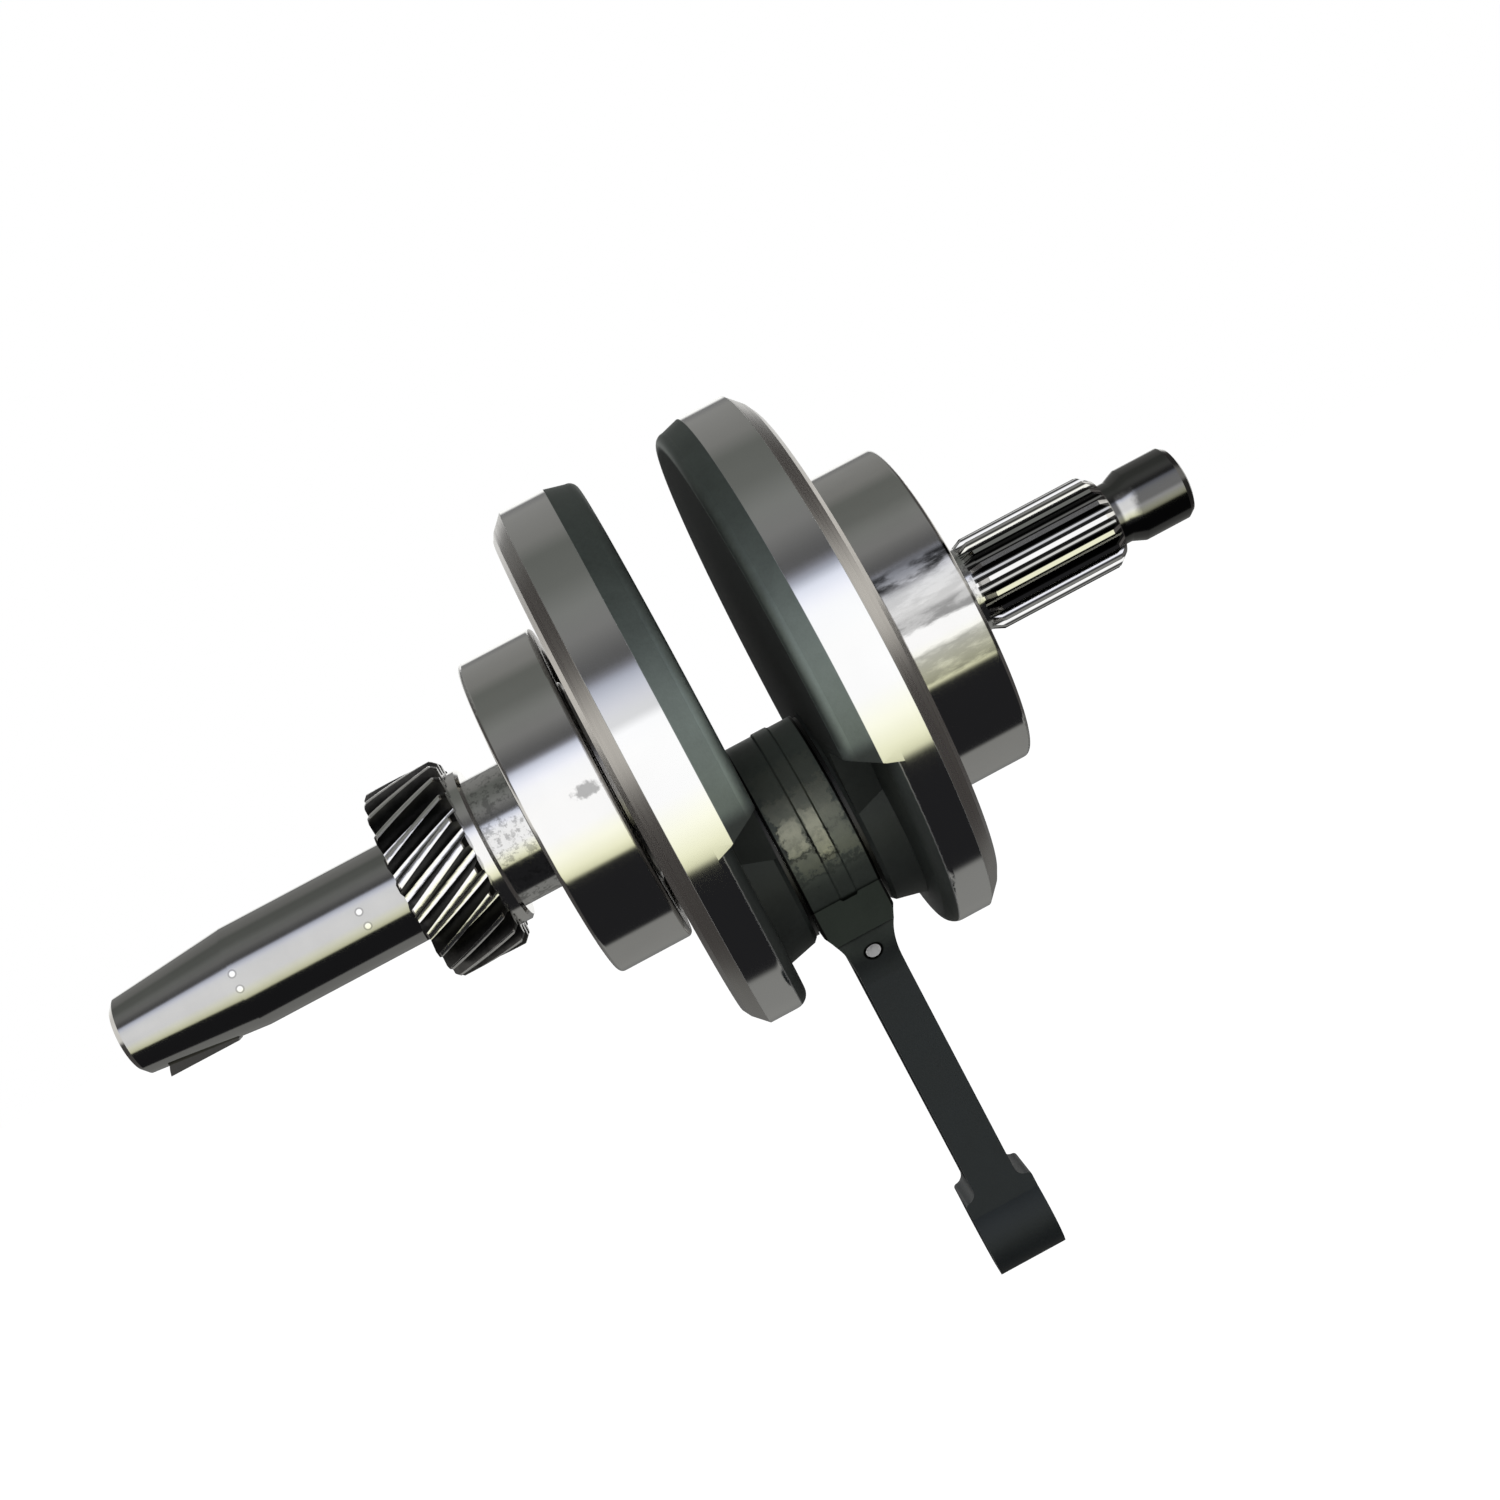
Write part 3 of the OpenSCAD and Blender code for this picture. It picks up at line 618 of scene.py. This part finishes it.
def rod_finish():
    finish = new_finish("rod_forging")
    offset = finish.x - PIN_AXIS.x
    across = abs(offset)
    height = finish.z - PIN_AXIS.z
    skin_color, skin_roughness, skin_height = forged_skin(finish, SHANK_LEVEL, ROD_TINT)
    neck = finish.band(height, NECK_START, NECK_END)
    # The ring's top part is painted lighter, and the neck gets painted shade
    ring_level = 0.06 + 0.025 * finish.step(height, *RING_PAINTED_LIGHTER_FROM) - 0.03 * neck
    ring_color = forged_skin(finish, ring_level, BIG_END_TINT)[0]
    big_end = finish.step(height, OIL_HOLE.z - 2, OIL_HOLE.z + 3)
    face = finish.step(across, BIG_END_HALF - 0.05, BIG_END_HALF - 0.01)
    chamfer = big_end * finish.step(across, CHAMFER_START - 0.1, CHAMFER_START + 0.1) * (1 - face)
    ragged = finish.noise(finish.place, 0.5, 5.0, 0.7) * 2 - 1
    front = finish.before(finish.y, *FRONT_END_Y)
    painted_highlight, painted_shade_line = 0.0, 0.0
    for middle, up, half_width, half_height, amount in PAINTED_HIGHLIGHT_PATCHES:
        reach = (abs(offset - middle) / half_width).max(abs(height - up) / half_height)
        reach = reach + 0.7 * ragged
        painted_highlight = painted_highlight + amount * front * finish.before(reach, 0.85, 1.05)
        edge = finish.band(reach, (0.98, 1.08), (1.12, 1.3))
        painted_shade_line = painted_shade_line + amount * front * edge * finish.before(height, up - 1, up + 1.5)
    painted_highlight = painted_highlight * (0.85 + 0.6 * ragged)
    drop = height - OIL_HOLE.z - finish.y + OIL_HOLE.y
    from_hole = (offset * offset + 0.5 * drop * drop) ** 0.5
    drilled = finish.before(from_hole, OIL_HOLE_R + 0.02, OIL_HOLE_R + 0.08)
    soot = finish.before(from_hole, OIL_HOLE_R + 0.4, OIL_HOLE_R + 0.8)
    color = finish.mix(big_end, skin_color, ring_color)
    # Painted highlight patches, then painted shade below each, and the dark chamfers
    color = finish.mix(painted_shade_line.max(chamfer), finish.mix(painted_highlight, color, PAINTED_HIGHLIGHT_COLOR), grey(0.004))
    color = finish.mix(face, color, grey(0.15))
    color = finish.mix(drilled, finish.mix(soot, color, grey(0.002)), grey(0.92))
    roughness = skin_roughness + 0.12 - 0.1 * big_end - 0.08 * painted_highlight
    metal = SCALE_METAL + (1 - SCALE_METAL) * painted_highlight.max(face).max(soot).max(neck).max(chamfer)
    set_surface(finish, base_color=color, metallic=metal * (1 - drilled),
                roughness=roughness * (1 - 0.4 * face),
                normal=finish.bump((skin_height + 0.5 * painted_highlight) * (1 - face), 0.09))


rod_finish()
print("Rod finish nodes:", len(finish_of["rod_forging"].tree.nodes))

# %% [markdown]
# ## Gear, cages and small pieces
#
# Years of running have polished the gear's tips and its valley floors, and dark oil has stayed on
# the flanks between them. Well above and below the axis, painted light makes the flanks lighter.
# Worn tips are round, so each catches a thin bright line wherever it faces. A cosine wave across
# every tooth, used as a bump, does that. The collar beside the teeth is ground like the shaft.
# Cages are pressed strip with a faint brown cast, and the oil plugs are plated. Each has a slow
# cloud and a fine grain.

# %% Gear finish
GEAR_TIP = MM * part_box("helical_gear")[1].z
GEAR_ROOT = GEAR_TIP - 3.49
COLLAR_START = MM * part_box("helical_gear")[1].x - 3.0
GEAR_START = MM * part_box("helical_gear")[0].x
GEAR_TEETH = 23
GEAR_TURN = -76.5     # degrees from +Y to the middle of a tooth, at the gear's left end
GEAR_TWIST = 1.349    # degrees that the teeth turn in each millimetre
ROUNDING = 0.4        # height of the wave that rounds tips and valleys
# Where a tooth shines, as shares of the pitch from its middle
TIP_END = (0.1, 0.12)
FLOOR_START = (0.36, 0.38)
# Beyond this height the flanks are painted lighter
FLANKS_PAINTED_LIGHTER_FROM = (11.0, 17.0)    # height above or below the axis


def gear_finish():
    finish = new_finish("gear_steel")
    radius = finish.radius()
    turn = GEAR_TURN - GEAR_TWIST * (finish.x - GEAR_START)
    round_from = finish.from_tooth(GEAR_TEETH, turn)
    collar = finish.step(finish.x, COLLAR_START - 0.01, COLLAR_START + 0.01)
    tip = finish.step(radius, GEAR_TIP - 0.4, GEAR_TIP - 0.2) * finish.before(round_from, *TIP_END)
    floor_of_valley = (finish.before(radius, GEAR_ROOT + 0.1, GEAR_ROOT + 0.3)
                       * finish.step(round_from, *FLOOR_START))
    bright = tip.max(floor_of_valley).max(collar)
    rings = grinding_rings(finish)
    cloud = finish.noise(finish.place, 0.4, 4.0)
    outer = finish.step(abs(finish.z), *FLANKS_PAINTED_LIGHTER_FROM)
    # Painted light lifts the flanks away from the axis
    shade = 0.02 + 0.03 * cloud + 0.1 * outer * cloud + 0.84 * bright - 0.1 * collar
    rounding = finish.math("COSINE", round_from * (2 * math.pi)) * (1 - collar)
    height = ROUNDING * rounding + 0.004 * rings + 0.01 * cloud * (1 - bright)
    set_surface(finish, base_color=finish.mix(shade, grey(0.0), grey(1.0, 0.01)), metallic=1.0,
                roughness=0.38 - 0.18 * bright - 0.1 * collar + 0.05 * rings,
                normal=finish.bump(height, 1.0))


def pressed_metal(name, color, roughness, depth=0.015):
    """Strip or plating: one colour with a slow cloud and a fine grain."""
    finish = new_finish(name)
    cloud = finish.noise(finish.place, 0.25, 4.0)
    grain = finish.noise(finish.place, 1.2, 5.0, 0.7)
    dull = tuple(0.62 * part for part in color) + (1.0,)
    clean = color + (1.0,)
    set_surface(finish, base_color=finish.mix(0.15 + 0.7 * cloud, dull, clean), metallic=1.0,
                roughness=roughness + 0.16 * grain, normal=finish.bump(grain, depth))


gear_finish()
pressed_metal("cage_steel", (0.60, 0.56, 0.47), 0.24)
pressed_metal("cage_silver", (0.80, 0.79, 0.76), 0.2)
pressed_metal("plug_steel", (0.58, 0.54, 0.42), 0.3)
pressed_metal("ball_steel", (0.82, 0.82, 0.83), 0.06, depth=0.001)
print("Finishes so far:", len(finish_of))

# %% [markdown]
# ## The rotor bolt's thread
#
# The hole in the shaft's left end is tapped for the bolt that holds the rotor. The CAD model
# leaves it plain. Here a small triangle is turned about the shaft and moved along it at the same
# time, which makes the ridge of a thread. Its foot sinks a little into the hole's wall.

# %% Thread
THREAD_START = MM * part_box("left_shaft")[0].x + 2.4
THREAD_PITCH = 1.25
THREAD_TURNS = 17
THREAD_STEPS = 32          # corners in each turn
THREAD_HALF_WIDTH = 0.5
THREAD_DEPTH = 0.55
THREAD_SUNK = 0.05
HOLE_RADIUS = 3.4

foot = HOLE_RADIUS + THREAD_SUNK
profile = [(-THREAD_HALF_WIDTH, foot), (0.0, HOLE_RADIUS - THREAD_DEPTH), (THREAD_HALF_WIDTH, foot)]
thread_shape = bmesh.new()
corners = [thread_shape.verts.new(((THREAD_START + x) / MM, 0, up / MM)) for x, up in profile]
first_cap = thread_shape.faces.new(corners)
made = bmesh.ops.spin(thread_shape, geom=corners + list(first_cap.edges), cent=(0, 0, 0),
                      axis=(1, 0, 0), dvec=(THREAD_PITCH / MM / THREAD_STEPS, 0, 0),
                      angle=2 * math.pi * THREAD_TURNS, steps=THREAD_STEPS * THREAD_TURNS)
thread_shape.faces.new([item for item in made["geom_last"] if isinstance(item, bmesh.types.BMVert)])
bmesh.ops.recalc_face_normals(thread_shape, faces=thread_shape.faces)
open_edges = sum(1 for edge in thread_shape.edges if len(edge.link_faces) != 2)
thread_mesh = bpy.data.meshes.new("rotor_bolt_thread")
thread_shape.to_mesh(thread_mesh)
thread_shape.free()
thread = bpy.data.objects.new("rotor_bolt_thread", thread_mesh)
bpy.context.scene.collection.objects.link(thread)
thread_mesh.materials.append(finish_of["shaft_steel"].material)
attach(thread, "crank")
print("Thread faces:", len(thread_mesh.polygons), "open edges:", open_edges)

# %% [markdown]
# ## Each piece gets its finish
#
# The record names a material slot for every node, and each finish above has its slot's name.

# %% Give each piece its finish
for part in frame["record"]["subparts"]:
    for slot in nodes[part["node"]].material_slots:
        slot.material = finish_of[part["material_slot"]].material

# %% [markdown]
# ## Floor, light tent and lamp
#
# Ground steel shows its surroundings, so the crank stands in a light tent: a round cloth painted
# in bands. Seen from the shaft it is white in front, grey overhead, black below and grey behind.
# The black band makes the hard dark stripe along every shaft. A second, narrow white band lies
# behind, level with the shaft, and gives it a highlight when seen from there. `TENT_BANDS` gives
# each band's place as degrees round the shaft, from 0 in front over 90 above to 180 behind. Past
# the shaft's ends the tent is dark, but for one pale strip level with the shaft. Only reflections
# see the tent. The floor and the world are plain: white to the camera, and dimmer in the light
# that they give. The floor lies well below the part, so its shadow is soft and hardly shows.

# %% Stage
FLOOR_DROP = 0.17             # from the part's lowest point down to the floor, in metres
FLOOR_HALF = 4.0
FLOOR_GREY = 0.8
FLOOR_GLOW = 1.25             # lifts the pale floor to white for the camera
FLOOR_GLOW_SHARE = 0.75
WORLD_LIGHT = 0.5             # the world's strength where neither camera nor reflection sees it
TENT_RADIUS = 1.5
TENT_STRENGTH = 1.2
TENT_BANDS = [
    (-180, (0.9, 0.9, 0.88)),
    (-174, (0.9, 0.9, 0.88)),
    (-169, (0.13, 0.13, 0.13)),
    (-145, (0.20, 0.20, 0.19)),
    (-104, (0.20, 0.20, 0.19)),
    (-101, (0.013, 0.013, 0.014)),
    (-41.3, (0.013, 0.013, 0.014)),
    (-39.5, (0.66, 0.66, 0.44)),
    (-34, (0.86, 0.86, 0.62)),
    (-24, (1.0, 1.0, 0.83)),
    (-12, (1.0, 1.0, 1.0)),
    (10, (1.0, 1.0, 1.0)),
    (23, (0.97, 0.98, 1.0)),
    (27, (0.92, 0.93, 1.0)),
    (32, (0.77, 0.80, 0.90)),
    (36.5, (0.57, 0.60, 0.70)),
    (39.5, (0.16, 0.16, 0.18)),
    (42, (0.085, 0.085, 0.085)),
    (46, (0.1, 0.1, 0.1)),
    (58, (0.18, 0.18, 0.175)),
    (70, (0.18, 0.185, 0.175)),
    (84, (0.125, 0.13, 0.12)),
    (103, (0.115, 0.12, 0.11)),
    (114, (0.18, 0.18, 0.17)),
    (145, (0.22, 0.22, 0.21)),
    (156, (0.15, 0.15, 0.15)),
    (161, (0.9, 0.9, 0.88)),
    (180, (0.9, 0.9, 0.88)),
]
TENT_END_DARK = (0.075, 0.07, 0.067, 1.0)
TENT_END_PALE = (0.88, 0.86, 0.81, 1.0)
TENT_END_START = (0.5, 0.68)                   # along the shaft, in tent radii
PALE_STRIP = ((-0.09, 0.0), (0.2, 0.36))       # upwards, in tent radii
LAMP_PLACE = Vector((-0.35, -0.55, 0.95))
LAMP_AIM = Vector((0.02, 0, -0.03))
LAMP_SIZE = 0.7
LAMP_WATTS = 9.0


def add_to_stage(name, shape, material):
    mesh = bpy.data.meshes.new(name)
    shape.to_mesh(mesh)
    shape.free()
    mesh.materials.append(material)
    stage_object = bpy.data.objects.new(name, mesh)
    bpy.context.scene.collection.objects.link(stage_object)
    return stage_object


def glow(finish, color, strength):
    return finish.node("Emission", None, {"Color": color, "Strength": strength})


def tent_material():
    """The bands run along the shaft, and the tent's two ends have a pattern of their own."""
    finish = new_finish("light_tent")
    turn = finish.math("ARCTAN2", finish.z, 0 - finish.y) * math.degrees(1)
    stops = [((angle + 180) / 360, color + (1.0,)) for angle, color in TENT_BANDS]
    bands = finish.node("ValToRGB", {"stops": stops}, {"Fac": (turn + 180) / 360})
    radius = MM * TENT_RADIUS
    strip = finish.band(finish.z / radius, *PALE_STRIP)
    at_end = finish.step(abs(finish.x) / radius, *TENT_END_START)
    color = finish.mix(at_end, bands, finish.mix(strip, TENT_END_DARK, TENT_END_PALE))
    finish.tree.links.new(glow(finish, color, TENT_STRENGTH).socket, finish.surface)
    return finish.material


def floor_material():
    """White to the camera but for the object's shadow, and pale grey to all other light."""
    finish = new_finish("floor")
    shown = finish.node("LightPath", out="Is Camera Ray").max(
        finish.node("LightPath", out="Is Transmission Ray"))
    pale = finish.node("BsdfDiffuse", None, {"Color": grey(FLOOR_GREY)})
    white = glow(finish, grey(1.0), FLOOR_GLOW)
    mixed = finish.node("MixShader", None, {0: FLOOR_GLOW_SHARE * shown, 1: pale, 2: white})
    finish.tree.links.new(mixed.socket, finish.surface)
    return finish.material


tent_shape = bmesh.new()
bmesh.ops.create_icosphere(tent_shape, subdivisions=4, radius=TENT_RADIUS)
tent = add_to_stage("light_tent", tent_shape, tent_material())
tent.visible_camera = False
tent.visible_shadow = False
tent.visible_diffuse = False

floor_z = cad_bounds[0][2] - FLOOR_DROP
floor_shape = bmesh.new()
bmesh.ops.create_grid(floor_shape, x_segments=1, y_segments=1, size=FLOOR_HALF,
                      matrix=Matrix.Translation((0, 0, floor_z)))
floor = add_to_stage("floor", floor_shape, floor_material())
floor.visible_glossy = False

world = bpy.data.worlds.new("world")
bpy.context.scene.world = world
world.use_nodes = True
sky = Finish(world.node_tree)
shown = sky.node("LightPath", out="Is Camera Ray").max(sky.node("LightPath", out="Is Glossy Ray"))
shown = shown.max(sky.node("LightPath", out="Is Transmission Ray"))
background = world.node_tree.nodes["Background"]
background.inputs["Color"].default_value = grey(1.0)
sky_strength = WORLD_LIGHT + (1 - WORLD_LIGHT) * shown
world.node_tree.links.new(sky_strength.socket, background.inputs["Strength"])

lamp_data = bpy.data.lights.new("overhead_lamp", "AREA")
lamp_data.shape = "SQUARE"
lamp_data.size = LAMP_SIZE
lamp_data.energy = LAMP_WATTS
lamp = bpy.data.objects.new("overhead_lamp", lamp_data)
bpy.context.scene.collection.objects.link(lamp)
lamp.location = LAMP_PLACE
lamp.rotation_euler = (LAMP_AIM - LAMP_PLACE).to_track_quat("-Z", "Y").to_euler()
lamp.visible_glossy = False
bpy.context.scene.view_settings.view_transform = "Standard"
print("Floor at", round(MM * floor_z), "mm")

# %% [markdown]
# ## Do the points agree?
#
# Each named point is set against the finished model. A piece counts only by its corners that the
# camera sees, and its middle is half way between the outermost of them. `LIMITS` cuts out the
# stretch of a piece that a name means, in millimetres. The result is printed and stops nothing.

# %% Points against the model
FAR = 999             # further out than any place on the part
EVERYWHERE = ((-FAR, -FAR, -FAR), (FAR, FAR, FAR))
BIG_END_FOOT = PIN_AXIS.z - 22
SMALL_END_TOP = PIN_AXIS.z - 84
HOLE_LOW = (PIN_AXIS.x - 2, -FAR, PIN_AXIS.z - 32)    # round the oil hole, on the rod's front
HOLE_HIGH = (PIN_AXIS.x + 2, -3, PIN_AXIS.z - 25)
STOP_SHORT = 0.0002    # a ray ends this far before the place it looks at, in metres
LIMITS = {
    "big_end": ("connecting_rod", (-FAR, -FAR, BIG_END_FOOT), (FAR, FAR, FAR)),
    "small_end": ("connecting_rod", (-FAR, -FAR, -FAR), (FAR, FAR, SMALL_END_TOP)),
    "rod_oil_hole": ("connecting_rod", HOLE_LOW, HOLE_HIGH),
    "end_journal": ("right_shaft", (SPLINE_END + 1, -FAR, -FAR), (FAR, FAR, FAR)),
}
finished = list(nodes.values()) + [thread]
finished_tree = tree_of(finished)


def image_point(place):
    """Where a place in the scene lands in the picture."""
    local = camera.matrix_world.inverted() @ place
    side = max(IMAGE_W, IMAGE_H)
    return (IMAGE_W / 2 - FOCAL * local.x / local.z - SHIFT_X * side,
            IMAGE_H / 2 + FOCAL * local.y / local.z + SHIFT_Y * side)


def shows(place):
    """True where nothing stands between the camera and a place on a surface."""
    start = camera.matrix_world.translation
    way = place - start
    return finished_tree.ray_cast(start, way.normalized(), way.length - STOP_SHORT)[0] is None


def seen_points(thing, low, high):
    places = [thing.matrix_world @ vertex.co for vertex in thing.data.vertices]
    inside = [place for place in places
              if all(a <= MM * value <= b for a, value, b in zip(low, place, high))]
    return [image_point(place) for place in inside if shows(place)]


def middle_of(points):
    """Half way between the outermost points, or the frame's corner where nothing shows."""
    return [(min(values) + max(values)) / 2 for values in zip(*points)] or [0, 0]


every_point = [point for thing in finished for point in seen_points(thing, *EVERYWHERE)]
across = [x for x, y in every_point] or [0]
down = [y for x, y in every_point] or [0]
found_edges = {"left_x": min(across), "right_x": max(across), "top_y": min(down),
               "bottom_y": max(down)}
found_points = {name: image_point(place / MM) for name, place in wear_spots.items()}
for name in PIECE_POINTS:
    node, low, high = LIMITS.get(name, (name,) + EVERYWHERE)
    found_points[name] = middle_of(seen_points(nodes[node], low, high))
differences = {name: round(found_edges[name] - value, 1) for name, value in EDGE_POINTS.items()}
for name, (x, y) in {**PIECE_POINTS, **SPOT_POINTS}.items():
    found = found_points[name]
    differences[name] = [round(found[0] - x, 1), round(found[1] - y, 1)]
print("Differences from the points:", differences)
